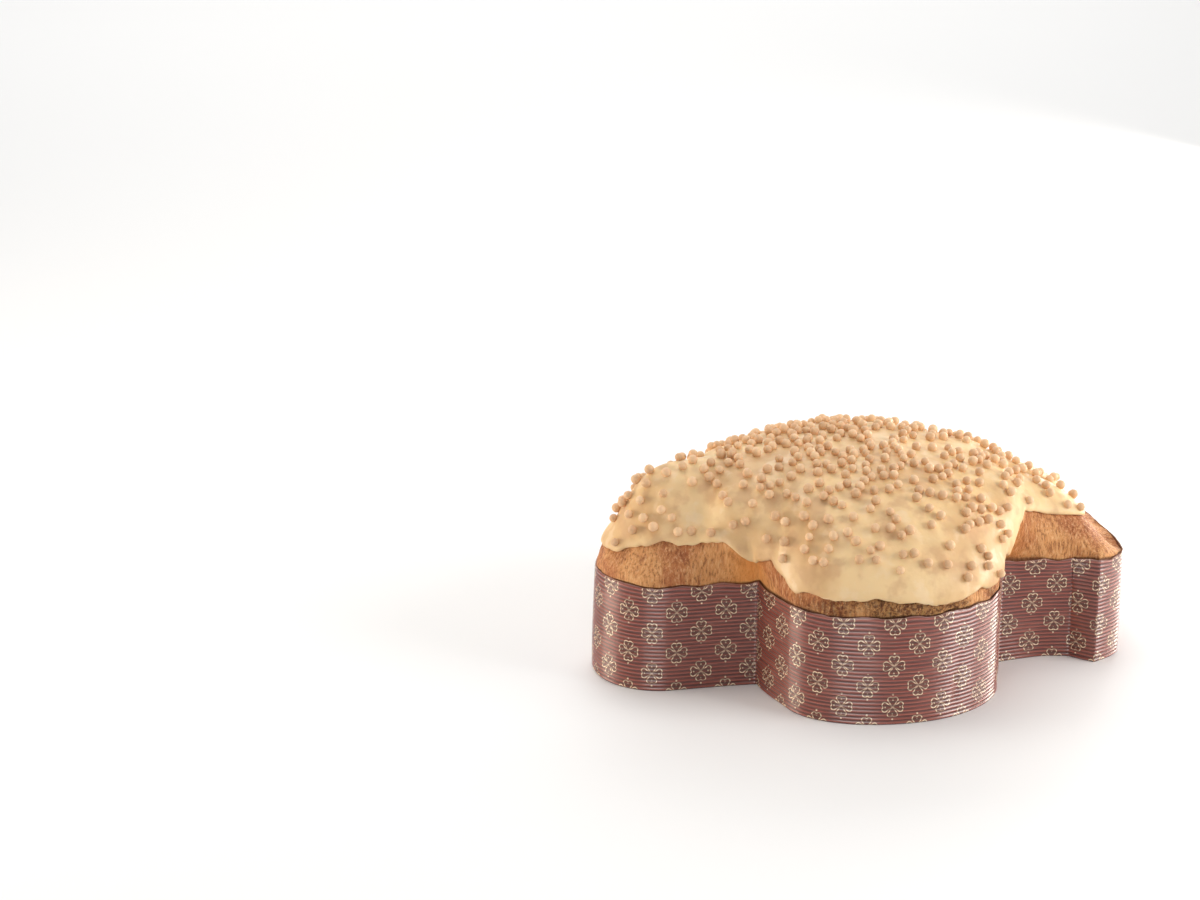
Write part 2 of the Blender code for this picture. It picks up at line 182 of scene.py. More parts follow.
def slope_shape(foot):
    """The two powers of the climbing curve: fuller on the wings, leaner at the tail's end."""
    wing = smooth_step(abs(foot.y), WING_SLOPE_START, WING_SLOPE_FULL)
    wing = max(wing, VALLEY_SLOPE * (1 - smooth_step(abs(foot.x), VALLEY_START, VALLEY_END)))
    slope = HEAD_SLOPE
    if foot.x > 0:
        end = smooth_step(foot.x, TAIL_CORNER - 0.010, TAIL_TIP)
        end *= 1 - smooth_step(abs(foot.y), TAIL_END_HALF, TAIL_HALF_WIDTH)
        slope = blend(TAIL_SLOPE, TAIL_END_SLOPE, end)
    return blend(slope, WING_SLOPE, wing)


def crown_point(station, climb):
    """A point of the dough above the rim: climb is 0 at the rim and 1 on the dove's back."""
    foot, soft, normal = station
    angle = climb * math.pi / 2
    round_power, side_power = slope_shape(foot)
    plan_share = math.cos(angle)
    spine = spine_point(foot)
    inset = case_point(foot, normal, CASE_HEIGHT).xy - normal * (PAPER + PIECE_GAP)
    inset += (soft - foot) * smooth_step(climb, SOFT_START, SOFT_FULL)
    plan = spine + (inset - spine) * plan_share
    notch = bell(abs(foot.x), NOTCH_PLACE.x, NOTCH_REACH.x) * bell(abs(foot.y), NOTCH_PLACE.y, NOTCH_REACH.y)
    swell = CRUST_BULGE * bell(climb, CRUST_BULGE_CLIMB, CRUST_BULGE_SPAN)
    swell += NOTCH_FILL * notch * math.sin(2 * angle)
    plan += (inset - spine).normalized() * swell
    rise_share = (1 - plan_share**round_power) ** side_power
    height = rim_height(foot) * (1 - rise_share) + (CASE_HEIGHT + dome_rise(spine.x)) * rise_share
    place = Vector((plan.x, plan.y, height))
    place.z += noise.noise(place * CROWN_LUMP_PITCH) * CROWN_LUMP * math.sin(angle)
    return place


# %% [markdown]
# The grid holds one column of points for each foot point. Its slopes along and up the
# columns give the surface's outward direction, and running lengths up each column let
# the icing's rolled edge be laid out in millimetres. Dough doesn't keep a sharp fold, so
# the columns over the two corners of the tail are averaged with their neighbours.

# %% The grid
FINENESS = 8
CLIMBS = 96
CORNER_ALONG, CORNER_ASIDE = (0.106, 0.128), (0.026, 0.038)
CORNER_CLIMB, CORNER_PASSES = 0.25, 300
FACING_PASSES = 40


def softened(line, passes):
    """The outline with its creases eased, as neighbouring points are averaged again and again."""
    points = np.array(line)
    for _ in range(passes):
        points = points * 0.5 + (np.roll(points, 1, 0) + np.roll(points, -1, 0)) * 0.25
    return [Vector(p) for p in points]


line = foot_line(FINENESS)
COUNT = len(line)
stations = list(zip(
    line,
    softened(line, SOFT_PASSES * FINENESS**2),
    [outward(line, i) for i in range(COUNT)],
))
grid = np.array([[crown_point(s, k / CLIMBS) for k in range(CLIMBS + 1)] for s in stations])
corner = np.array([smooth_step(f.x, *CORNER_ALONG) * smooth_step(abs(f.y), *CORNER_ASIDE) for f in line])
rising = np.array([smooth_step(k / CLIMBS, 0, CORNER_CLIMB) for k in range(CLIMBS + 1)])
easing = (corner[:, None] * rising)[..., None]
for _ in range(CORNER_PASSES):
    grid = grid + ((np.roll(grid, 1, 0) + np.roll(grid, -1, 0)) * 0.5 - grid) * 0.5 * easing
sideways = np.roll(grid, -1, 0) - np.roll(grid, 1, 0)
upwards = np.gradient(grid, axis=1)
facing = np.cross(sideways, upwards)
facing /= np.maximum(np.linalg.norm(facing, axis=2, keepdims=True), 1e-12)
facing[:, -1] = (0, 0, 1)
for _ in range(FACING_PASSES):
    facing = facing * 0.5 + (np.roll(facing, 1, 0) + np.roll(facing, -1, 0)) * 0.25
    facing[:, 1:-1] = facing[:, 1:-1] * 0.5 + (facing[:, :-2] + facing[:, 2:]) * 0.25
facing /= np.linalg.norm(facing, axis=2, keepdims=True)
steps_up = np.linalg.norm(np.diff(grid, axis=1), axis=2)
lengths = np.concatenate([np.zeros((COUNT, 1)), np.cumsum(steps_up, axis=1)], axis=1)
print("grid", grid.shape, "dome top", round(float(grid[..., 2].max()), 4))


def at_climb(climbs, lift):
    """Points of the grid at one climb per column, lifted off the dough by one length per column."""
    exact = np.clip(np.asarray(climbs), 0, 1) * CLIMBS
    low = np.minimum(exact.astype(int), CLIMBS - 1)
    share = (exact - low)[:, None]
    rows = np.arange(COUNT)
    place = grid[rows, low] * (1 - share) + grid[rows, low + 1] * share
    out = facing[rows, low] * (1 - share) + facing[rows, low + 1] * share
    return place + out * np.broadcast_to(lift, COUNT)[:, None], out


def climb_after(climbs, distance):
    """The climbs reached after going a distance up each column from the given climbs."""
    marks = np.linspace(0, 1, CLIMBS + 1)
    start = np.array([np.interp(c, marks, row) for c, row in zip(climbs, lengths)])
    goal = start + np.broadcast_to(distance, COUNT)
    return np.array([np.interp(g, row, marks) for g, row in zip(goal, lengths)])


# %% [markdown]
# ## Growing a wall ring by ring
# Each new piece starts as a circle of edges that is laid on the outline. Extruding the
# circle's edges gives the next ring, whose points are then put in place. It is the
# quickest way to a clean skin of quads, and no face has to be listed by hand.

# %% Helpers for rings
def first_ring(mesh, places):
    """A closed ring of edges whose points are laid on the given places."""
    ring = bmesh.ops.create_circle(mesh, cap_ends=False, segments=len(places), radius=1)["verts"]
    for vert, place in zip(ring, places):
        vert.co = place
    return ring


def next_ring(mesh, ring, places):
    """Extrudes a ring's edges and lays the new ring on the given places."""
    edges = [mesh.edges.get((ring[i - 1], ring[i])) for i in range(len(ring))]
    made = bmesh.ops.extrude_edge_only(mesh, edges=edges)["geom"]
    fresh = {part for part in made if isinstance(part, bmesh.types.BMVert)}
    upper = []
    for vert, place in zip(ring, places):
        twin = next(
            edge.other_vert(vert) for edge in vert.link_edges if edge.other_vert(vert) in fresh
        )
        twin.co = place
        upper.append(twin)
    return upper


def cap(mesh, ring):
    """Closes a ring with faces that each reach from one side of the dove to the other."""
    count = len(ring)
    for i in range(count // 2):
        corners = {ring[i], ring[i + 1], ring[-i % count], ring[-(i + 1) % count]}
        bmesh.ops.contextual_create(mesh, geom=list(corners))


def finish_piece(name, mesh, finish, node=None):
    """Merges doubles, turns the faces outwards and puts the piece on the part's one body."""
    bmesh.ops.remove_doubles(mesh, verts=mesh.verts[:], dist=1e-6)
    bmesh.ops.dissolve_degenerate(mesh, edges=mesh.edges[:], dist=1e-7)
    bmesh.ops.recalc_face_normals(mesh, faces=mesh.faces[:])
    bmesh.ops.translate(mesh, vec=CENTRE, verts=mesh.verts[:])
    data = bpy.data.meshes.new(name)
    mesh.to_mesh(data)
    mesh.free()
    data.shade_smooth()
    data.materials.append(finish)
    piece = bpy.data.objects.new(name, data)
    bpy.context.scene.collection.objects.link(piece)
    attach(piece, "root")
    if node:
        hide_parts(node)
    print(name, len(data.polygons), "faces")
    return piece


# %% [markdown]
# ## Nodes for the finishes
# A finish is a Principled shader with a few texture nodes in front of it. The helper
# keeps each finish short: it makes a node, sets its values and links its inputs.

# %% Helpers for finishes
class Finish:
    """One material and short ways to add nodes to it."""

    def __init__(self, name):
        self.material = bpy.data.materials.new(name)
        self.material.use_nodes = True
        self.tree = self.material.node_tree
        self.shader = self.tree.nodes["Principled BSDF"]

    def node(self, kind, inputs=(), **settings):
        made = self.tree.nodes.new("ShaderNode" + kind)
        for name, value in settings.items():
            setattr(made, name, value)
        for name, value in dict(inputs).items():
            self.put(made.inputs[name], value)
        return made

    def put(self, socket, value):
        if isinstance(value, bpy.types.NodeSocket):
            self.tree.links.new(value, socket)
        else:
            socket.default_value = value

    def math(self, operation, a, b=0.0):
        return self.node("Math", {0: a, 1: b}, operation=operation).outputs[0]

    def mix(self, share, a, b):
        made = self.node("Mix", {0: share, 6: a, 7: b}, data_type="RGBA")
        return made.outputs[2]

    def between(self, value, low, high, start=0.0, end=1.0):
        ranged = self.node("MapRange", {0: value, 1: low, 2: high, 3: start, 4: end})
        ranged.interpolation_type = "SMOOTHSTEP"
        return ranged.outputs[0]

    def noise(self, where, scale, detail=3.0, roughness=0.5):
        made = self.node("TexNoise", {"Vector": where, "Scale": scale, "Detail": detail})
        made.inputs["Roughness"].default_value = roughness
        return made.outputs["Fac"]

    def vector(self, operation, a, b):
        """The single number of a vector operation: DISTANCE or DOT_PRODUCT."""
        return self.node("VectorMath", {0: a, 1: b}, operation=operation).outputs["Value"]

    def bump(self, height, strength, distance, under=None):
        made = self.node("Bump", {"Height": height, "Strength": strength, "Distance": distance})
        if under:
            self.put(made.inputs["Normal"], under)
        return made.outputs["Normal"]


def colour(red, green, blue):
    """A linear colour from the 0 to 255 values that a picture shows."""
    def linear(value):
        value /= 255
        return value / 12.92 if value <= 0.04045 else ((value + 0.055) / 1.055) ** 2.4
    return (linear(red), linear(green), linear(blue), 1.0)


# %% [markdown]
# ## The ribbed paper case
# Baking cases are made of fluted paper: fine ribs run round the wall, which keeps it
# stiff while the dough pushes. The flutes could be a bump, but they catch the light so
# strongly along the curves that real rings are better. The wall has six rings to a rib.
# The print goes by the wall's own map: round the case in one direction and up in the
# other, both in metres, so that the flowers keep their true size everywhere. The strip
# of paper is lapped in the notch behind the head, so the print jumps there. One soft
# crease runs up the near wing, and the cut edge at the top is never quite even.

# %% The wall's rings
RIBS, RINGS_PER_RIB, RIB_DEPTH = 27, 6, 0.00070
CASE_FINENESS, RIM_FADE = 6, 10
SWAY, SWAY_PITCH, SWAY_RISE_PITCH, FIRM_FOOT = 0.0005, 22, 9, 0.25
CREASE_AT, CREASE_WIDTH, CREASE_DEPTH, CREASE_LEAN = 0.247, 0.0020, 0.0009, 0.006
CUT_EDGE, CUT_EDGE_PITCH = 0.0007, 190
INNER_LEVELS, INNER_RIB_SHARE = (1.0, 0.97, 0.9, 0.5, 0.02), 0.3


def wall_places(foot, outs, run, level, inset, ribbed):
    """One ring of the wall; level is 0 on the floor and 1 at the rim."""
    places = []
    for i, (point, out) in enumerate(zip(foot, outs)):
        height = level * CASE_HEIGHT + (rim_height(point) - CASE_HEIGHT) * level**RIM_FADE
        place = case_point(point, out, height)
        sway = noise.noise(Vector((point.x * SWAY_PITCH, point.y * SWAY_PITCH, height * SWAY_RISE_PITCH)))
        crease = CREASE_DEPTH * bell(run[i], CREASE_AT + CREASE_LEAN * level, CREASE_WIDTH)
        rib = RIB_DEPTH * (0.5 + 0.5 * math.cos(level * RIBS * math.tau)) if ribbed else 0
        place.xy += out * ((sway * SWAY - crease) * min(1, level / FIRM_FOOT) - rib - inset)
        if level == 1:
            place.z += CUT_EDGE * noise.noise(Vector((point.x * CUT_EDGE_PITCH, point.y * CUT_EDGE_PITCH, 0)))
        places.append(place)
    return places


# %% The wall's own map
LAP_AT, LAP_WIDTH, LAP_SHIFT = 0.1097, 0.0015, 0.0095


def map_wall(mesh, place_of, run):
    """Lays the map on the outer wall, in metres round the case and up it."""
    layer = mesh.loops.layers.uv.new("wall")
    for face in mesh.faces:
        known = [place_of.get(loop.vert) for loop in face.loops]
        if None in known:
            for loop in face.loops:
                loop[layer].uv = (0, CASE_HEIGHT)
            continue
        wraps = max(i for i, _ in known) - min(i for i, _ in known) > 1
        for loop, (i, level) in zip(face.loops, known):
            along = run[-1] if wraps and i == 0 else run[i]
            along += LAP_SHIFT * smooth_step(along, LAP_AT - LAP_WIDTH, LAP_AT + LAP_WIDTH)
            loop[layer].uv = (along, level * CASE_HEIGHT)


# %% Model the paper case
def paper_wall(finish):
    mesh = bmesh.new()
    foot = foot_line(CASE_FINENESS)
    outs = [outward(foot, i) for i in range(len(foot))]
    run = [0.0]
    for start, end in zip(foot, foot[1:] + foot[:1]):
        run.append(run[-1] + (end - start).length)
    rounds = RIBS * RINGS_PER_RIB
    ring = first_ring(mesh, wall_places(foot, outs, run, 0, 0, ribbed=True))
    bottom = list(ring)
    place_of = {vert: (i, 0.0) for i, vert in enumerate(ring)}
    for k in range(1, rounds + 1):
        ring = next_ring(mesh, ring, wall_places(foot, outs, run, k / rounds, 0, ribbed=True))
        place_of.update({vert: (i, k / rounds) for i, vert in enumerate(ring)})
    inset = PAPER - RIB_DEPTH * INNER_RIB_SHARE
    for level in INNER_LEVELS:
        ring = next_ring(mesh, ring, wall_places(foot, outs, run, level, inset, ribbed=False))
    cap(mesh, bottom)
    cap(mesh, ring)
    print("ribs", RIBS, "pitch", round(CASE_HEIGHT / RIBS * 1000, 2), "mm")
    map_wall(mesh, place_of, run)
    return finish_piece("ribbed_paper_case", mesh, finish, "paper_case")


# %% [markdown]
# The print is a field of thin, pale gold flowers in staggered rows. Each has four
# heart-shaped petals with a dot in each, and one more dot above and below. Folded into
# one eighth, the flower is a single curve: a straight edge that leaves the middle at an
# angle and runs into a circle. How far a spot of the paper is from that curve decides
# whether it gets ink. The ink sits on the crests of the ribs and thins in their grooves.
# The paper is waxed, so the crests are shinier than the grooves and a thin clear coat
# lies over both. The paper's colour is also lighter on the crests and darker in the
# grooves: a painted highlight and painted shade of the ribs.

# %% The flower print
FLOWER_ACROSS, ROWS_APART = 0.0286, 0.0247
FLOWER_START, FLOWER_FOOT = 0.0059, -0.0014
BUMP_PLACE, BUMP_RADIUS = (0.0045, 0.00135, 0), 0.0015
INK, INK_EDGE = 0.00029, (0.5, 1.3)  # a line's half width, and where its edge fades, in half widths
MIDDLE_FADE = (0.0008, 0.0030, 0.45, 1.0)  # from where, to where, and the ink's strength at both
PETAL_DOT, PETAL_DOT_FADE = (0.0042, 0, 0), (0.0002, 0.0006, 0.7, 0.0)
OUTER_DOT, OUTER_DOT_FADE = (0, 0.0075, 0), (0.0003, 0.0007, 0.9, 0.0)
CELLS_BEFORE = 100  # keeps every cell's number above zero


def flower_cell(paper, u, v, shift):
    """Coordinates about the nearest flower of one of the two staggered lattices."""
    across = paper.math("SUBTRACT", u, FLOWER_START + shift * FLOWER_ACROSS)
    up = paper.math("SUBTRACT", v, FLOWER_FOOT + shift * ROWS_APART)
    cells = []
    for value, period in ((across, FLOWER_ACROSS), (up, ROWS_APART)):
        shifted = paper.math("ADD", paper.math("DIVIDE", value, period), CELLS_BEFORE + 0.5)
        centred = paper.math("SUBTRACT", paper.math("FRACT", shifted), 0.5)
        cells.append(paper.math("ABSOLUTE", paper.math("MULTIPLY", centred, period)))
    return cells


def flower(paper, x, y):
    """(ink, fill) of one flower, from the distances sideways and upwards from its middle."""
    along, across = paper.math("MAXIMUM", x, y), paper.math("MINIMUM", x, y)
    petal = paper.node("CombineXYZ", {0: along, 1: across}).outputs[0]
    far = math.hypot(*BUMP_PLACE)
    lean = math.atan2(BUMP_PLACE[1], BUMP_PLACE[0]) + math.asin(BUMP_RADIUS / far)
    straight = paper.vector("DOT_PRODUCT", petal, (-math.sin(lean), math.cos(lean), 0))
    reached = paper.vector("DOT_PRODUCT", petal, (math.cos(lean), math.sin(lean), 0))
    rounded = paper.math("SUBTRACT", paper.vector("DISTANCE", petal, BUMP_PLACE), BUMP_RADIUS)
    before = paper.math("LESS_THAN", reached, math.sqrt(far**2 - BUMP_RADIUS**2))
    off = paper.math("ADD", paper.math("MULTIPLY", before, straight),
                     paper.math("MULTIPLY", paper.math("SUBTRACT", 1.0, before), rounded))
    inner, outer = (INK * share for share in INK_EDGE)
    stroke = paper.between(paper.math("ABSOLUTE", off), inner, outer, 1.0, 0.0)
    stroke = paper.math("MULTIPLY", stroke, paper.between(along, *MIDDLE_FADE))
    mark = paper.between(paper.vector("DISTANCE", petal, PETAL_DOT), *PETAL_DOT_FADE)
    cell = paper.node("CombineXYZ", {0: x, 1: y}).outputs[0]
    dot = paper.between(paper.vector("DISTANCE", cell, OUTER_DOT), *OUTER_DOT_FADE)
    ink = paper.math("MAXIMUM", paper.math("MAXIMUM", stroke, dot), mark)
    return ink, paper.math("LESS_THAN", off, 0.0)


# %% The paper's finish
# the dark groove colour is painted shade and the light crest colour a painted highlight of the ribs
GROOVE_PAINTED_SHADE, CREST_PAINTED_HIGHLIGHT = colour(82, 23, 18), colour(151, 75, 63)
PALE_STREAK, DARK_STREAK = colour(186, 116, 98), colour(70, 20, 18)
PETAL_FILL, GOLD, WORN_RIM = colour(78, 40, 28), colour(252, 228, 190), colour(204, 152, 138)
WEAR_SCALE, FIBRE_SCALE, STREAK_SCALE = 160, 900, (40, 900, 1)
CREST_START, CREST_FULL = 0.6, -0.9  # in the cosine that runs once up each rib
WORN_FROM, WORN_TO = CASE_HEIGHT - 0.0006, CASE_HEIGHT - 0.0001


def case_paper():
    paper = Finish("burgundy_case_paper")
    wall = paper.node("UVMap", uv_map="wall").outputs[0]
    parts = paper.node("SeparateXYZ", {0: wall})
    u, v = parts.outputs[0], parts.outputs[1]
    first = flower(paper, *flower_cell(paper, u, v, 0.0))
    second = flower(paper, *flower_cell(paper, u, v, 0.5))
    ink = paper.math("MAXIMUM", first[0], second[0])
    fill = paper.math("MAXIMUM", first[1], second[1])
    where = paper.node("TexCoord").outputs["Object"]
    wear = paper.noise(where, WEAR_SCALE, 4)
    drawn = paper.node("Mapping", {"Vector": wall, "Scale": STREAK_SCALE}).outputs[0]
    streak = paper.noise(drawn, 1.0, 3)
    crest = paper.math("COSINE", paper.math("MULTIPLY", v, RIBS * math.tau / CASE_HEIGHT))
    crest = paper.between(crest, CREST_START, CREST_FULL)
    # painted light: a painted highlight on the ribs' crests and painted shade in their grooves
    base = paper.mix(crest, GROOVE_PAINTED_SHADE, CREST_PAINTED_HIGHLIGHT)
    base = paper.mix(paper.between(streak, 0.40, 0.75, 0.0, 0.30), base, PALE_STREAK)
    base = paper.mix(paper.between(streak, 0.46, 0.25, 0.0, 0.30), base, DARK_STREAK)
    base = paper.mix(paper.math("MULTIPLY", fill, 0.55), base, PETAL_FILL)
    gold = paper.math("MULTIPLY", ink, paper.between(wear, 0.2, 0.6, 0.8, 1.0))
    gold = paper.math("MULTIPLY", gold, paper.between(crest, 0.0, 0.6, 0.40, 1.0))
    base = paper.mix(gold, base, GOLD)
    base = paper.mix(paper.between(v, WORN_FROM, WORN_TO, 0.0, 0.40), base, WORN_RIM)
    paper.put(paper.shader.inputs["Base Color"], base)
    paper.put(paper.shader.inputs["Roughness"], paper.between(crest, 0.2, 0.7, 0.62, 0.22))
    paper.shader.inputs["Specular IOR Level"].default_value = 0.9
    paper.shader.inputs["Specular Tint"].default_value = (1.0, 0.86, 0.78, 1.0)
    paper.shader.inputs["Coat Weight"].default_value = 0.5
    paper.shader.inputs["Coat Roughness"].default_value = 0.20
    paper.shader.inputs["Coat IOR"].default_value = 1.8
    fibre = paper.noise(where, FIBRE_SCALE, 2)
    paper.put(paper.shader.inputs["Normal"], paper.bump(fibre, 0.25, 0.0002))
    return paper.material


paper_wall(case_paper())

# %% [markdown]
# ## The browned crust
# Between the paper and the icing a band of bare crust shows: golden brown, with fine
# wrinkles that run upwards, where the skin of the dough stretched as it rose, and with
# crumbly crags low on the wing. The wrinkles are real relief on a fine skin, made
# by moving each point along the surface's outward direction by noise that is drawn out
# upwards. The rest of the loaf is hidden, so it has only a few coarse rings. The band
# ends where the icing does: a line of a few climbs round the dove, with small waves and
# drips, which are eased over the tail, because the columns crowd together there.

# %% Where the icing ends
ICING_LINE = (
    (0.000, 0.20), (0.014, 0.205), (0.037, 0.305), (0.055, 0.342), (0.076, 0.315), (0.092, 0.25),
    (0.113, 0.14), (0.135, 0.175), (0.150, 0.14), (0.170, 0.065), (0.200, 0.075), (0.225, 0.055),
    (0.262, 0.055), (0.310, 0.12), (0.330, 0.20), (0.350, 0.36), (0.375, 0.40), (0.432, 0.43),
    (0.452, 0.60), (0.474, 0.67), (0.500, 0.58),
)
EDGE_LIFT = 0.0009
TAIL_EDGE, TAIL_EDGE_PASSES = (0.095, 0.122), 60
EDGE_WAVES = ((0.010, 1.9, 0), (0.006, 0.83, 1))  # height, pitch and start
DRIPS = ((70, 4, 0.0018), (190, 9, 0.0013))  # pitch, start and reach down the slope
LEAST_CLIMB = 0.03


def bare_crust(i):
    """How far up column i the crust stays bare, as a share of the climb."""
    step = i / FINENESS
    count = COUNT / FINENESS
    around = min(step, count - step) / count
    for (start, low), (end, high) in zip(ICING_LINE, ICING_LINE[1:]):
        if around <= end:
            waves = sum(size * math.sin(step * pitch + begin) for size, pitch, begin in EDGE_WAVES)
            return low + (high - low) * smooth_step(around, start, end) + waves
    return ICING_LINE[-1][1]


def drip(i):
    """Small runs of the icing's edge, in metres down the slope."""
    foot = stations[i][0]
    runs = (
        noise.noise(Vector((foot.x * pitch, foot.y * pitch, begin))) * reach
        for pitch, begin, reach in DRIPS
    )
    return sum(runs, EDGE_LIFT)


icing_edge = climb_after([bare_crust(i) for i in range(COUNT)], [drip(i) for i in range(COUNT)])
icing_edge = np.maximum(icing_edge, LEAST_CLIMB)
tail_share = np.array([smooth_step(f.x, *TAIL_EDGE) for f in line])
for _ in range(TAIL_EDGE_PASSES):
    around = (np.roll(icing_edge, 1) + np.roll(icing_edge, -1)) * 0.5
    icing_edge = icing_edge + (around - icing_edge) * 0.5 * tail_share
print("icing edge climbs", round(icing_edge.min(), 3), "to", round(icing_edge.max(), 3))

# %% The crust's relief
TORN_MIDDLE, TORN_REACH, TORN_SIDE = 0.006, 0.068, (0.066, 0.088)
TORN_PITCH, TORN_PATCHES = 60, (-0.60, -0.05)
SHELTER_PLACE, SHELTER_REACH = (0.073, 0.040), 0.012
BEND, BEND_PITCH, WRINKLE_PITCH, WRINKLE_RISE_PITCH = 1.2, 120, 330, 120
CRAG_PITCH, CRUMB_PITCH, CRUMB_SHARE, LUMP_PITCH = 300, 620, 0.6, 95
WRINKLE, LUMP, CRAG, TORN_CRAG = 0.00034, 0.00060, 0.00014, 0.0016
arc = [0.0]
for near, far in zip(line, line[1:]):
    arc.append(arc[-1] + (far - near).length)
print("round the dove", round(arc[-1], 3), "m")


def torn(place):
    """How torn the crust is: low on the fronts of both wings, in patches."""
    front = bell(place[0], TORN_MIDDLE, TORN_REACH) * smooth_step(abs(place[1]), *TORN_SIDE)
    return front * smooth_step(noise.noise(Vector(place) * TORN_PITCH), *TORN_PATCHES)


def sheltered(place):
    """How deep in a notch the crust lies, where the oven browned it least."""
    along, aside = (bell(abs(c), middle, SHELTER_REACH) for c, middle in zip(place, SHELTER_PLACE))
    return along * aside


def wrinkle(i, place):
    """Relief of the bare crust: upright wrinkles, soft lumps and crumbly crags."""
    at = Vector(place)
    bend = noise.noise(at * BEND_PITCH) * BEND
    upright = noise.noise(Vector((arc[i] * WRINKLE_PITCH + bend, place[2] * WRINKLE_RISE_PITCH, 2)))
    crag = noise.noise(at * CRAG_PITCH) + CRUMB_SHARE * noise.noise(at * CRUMB_PITCH)
    lump = noise.noise(at * LUMP_PITCH)
    return WRINKLE * upright + LUMP * lump + (CRAG + TORN_CRAG * torn(place)) * crag


# %% Model the loaf
HIDDEN_LEVELS, HIDDEN_SHARES = (0.4, 0.8, 0.93, 0.985), (0.25, 0.5, 0.75, 1.0)
CRUST_RINGS, CRUST_UNDER_ICING, RELIEF_START = 34, 0.0025, 0.06
RIM_GAP, RIM_GAP_AT, RIM_GAP_WIDTH = 0.0012, 0.03, 0.035
RIM_GAP_PITCH, RIM_GAP_PATCHES = 38, (-0.1, 0.3)


def inside_case(level):
    """One ring of the loaf's hidden part, just inside the paper."""
    clear = PAPER + PIECE_GAP
    places = []
    for foot, _, normal in stations:
        place = case_point(foot, normal, max(clear, level * rim_height(foot)))
        place.xy -= normal * clear
        places.append(place)
    return places


def rim_gap(place, share):
    """How far the crust stands back from the paper, in patches just above the rim."""
    patch = smooth_step(noise.noise(Vector(place) * RIM_GAP_PITCH), *RIM_GAP_PATCHES)
    return RIM_GAP * bell(share, RIM_GAP_AT, RIM_GAP_WIDTH) * patch


def loaf(finish):
    mesh = bmesh.new()
    tone = mesh.verts.layers.float.new("bare_band_climb")
    tearing = mesh.verts.layers.float.new("torn")
    shelter = mesh.verts.layers.float.new("sheltered")
    ring = first_ring(mesh, inside_case(0))
    base = list(ring)
    for level in HIDDEN_LEVELS:
        ring = next_ring(mesh, ring, inside_case(level))
    crust_end = climb_after(icing_edge, CRUST_UNDER_ICING)
    for k in range(0, CRUST_RINGS + 1):
        share = k / CRUST_RINGS
        places, out = at_climb(crust_end * share, 0.0)
        fade = smooth_step(share, 0.0, RELIEF_START)
        shifts = [wrinkle(i, p) * fade - rim_gap(p, share) for i, p in enumerate(places)]
        ring = next_ring(mesh, ring, [p + o * s for p, o, s in zip(places, out, shifts)])
        for vert, place in zip(ring, places):
            # the climb up the bare band, which the crust's finish uses for a painted shadow along the paper
            # and painted shade under the icing
            vert[tone] = share
            vert[tearing] = torn(place)
            vert[shelter] = sheltered(place)
    for share in HIDDEN_SHARES:
        ring = next_ring(mesh, ring, at_climb(crust_end + (1 - crust_end) * share, 0.0)[0])
    cap(mesh, base)
    return finish_piece("browned_loaf", mesh, finish, "bread")


# %% [markdown]
# The crust is golden in the hollows of the notches. Noises of three sizes mix the browns,
# and two of them are drawn out upwards like the wrinkles. Three attributes were written
# while the rings grew: the climb up the bare band paints shade in a thin band under the
# icing's lip and a shadow along the gap to the paper, where the crust is a little burnt
# too; one puts crumbs on the torn fronts of the wings, with painted shade in their
# hollows; and one pales the notches.

# %% The crust's finish
GOLDEN, BROWN = colour(212, 150, 94), colour(182, 114, 70)
PALE_MOTTLE, DARK_MOTTLE = colour(222, 168, 114), colour(146, 82, 52)
PALE_FLECK, DARK_FLECK = colour(234, 190, 140), colour(116, 64, 38)
# the dark crumb colour is partly dark crumbs and partly painted shade in the hollows of the crags
NOTCH_GOLD, DARK_CRUMB_HOLLOW_SHADE, PALE_CRUMB = colour(238, 160, 84), colour(92, 50, 28), colour(226, 174, 104)
# a painted shadow along the gap to the paper, with a little burnt crust, and painted shade under the icing's
# lip
PAPER_GAP_SHADOW, UNDER_ICING_SHADE = colour(66, 34, 22), colour(128, 74, 38)
BROAD_SCALE, MOTTLE_SCALE, FLECK_SCALE, CRUMB_SCALE = 40, 240, 800, 520
DRAWN_UP = (1.0, 1.0, 0.25)


